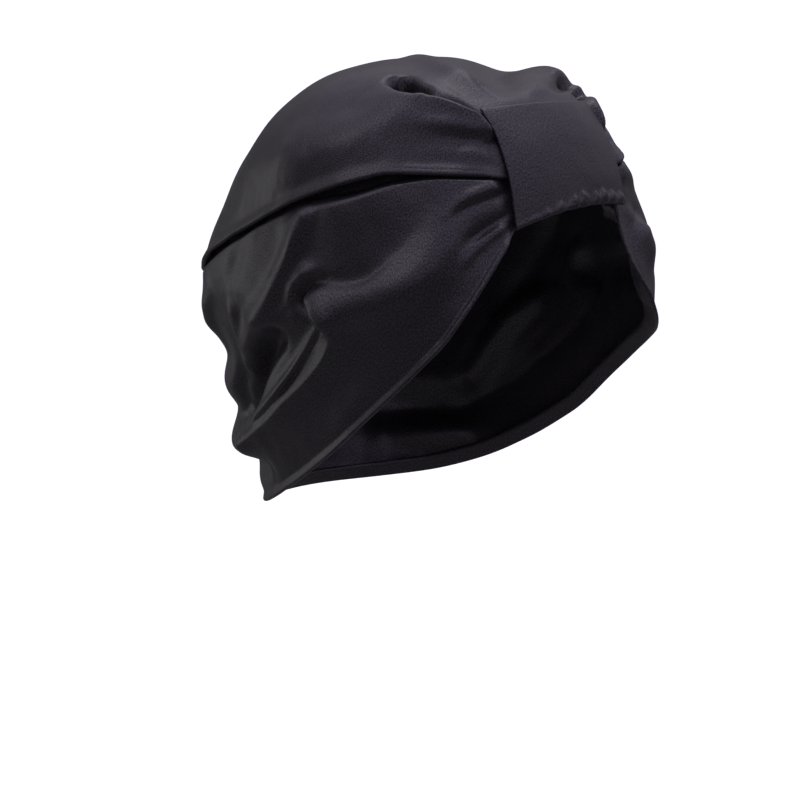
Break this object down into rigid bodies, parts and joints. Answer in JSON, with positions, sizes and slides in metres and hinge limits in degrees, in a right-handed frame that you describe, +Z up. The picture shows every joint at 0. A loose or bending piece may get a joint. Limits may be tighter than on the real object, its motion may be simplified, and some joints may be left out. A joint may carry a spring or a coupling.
{
  "type": "sleep cap",
  "caption": "Satin turban sleep cap: a draped crown and a head wrap gathered under a flat front band, with a low nape and a rolled hem round the face.",
  "frame": {"origin": "inside of the crown at its top, where the cap sits on the wearer's head", "axes": "+Z up, -Y to the wearer's front, +X to the wearer's left"},
  "size_m": [0.1888, 0.2052, 0.2142],
  "materials": {
    "satin": "black satin, soft broad sheen"
  },
  "bodies": {
    "root": {"crown": "satin", "wrap": "satin", "front_band": "satin"}
  },
  "joints": []
}
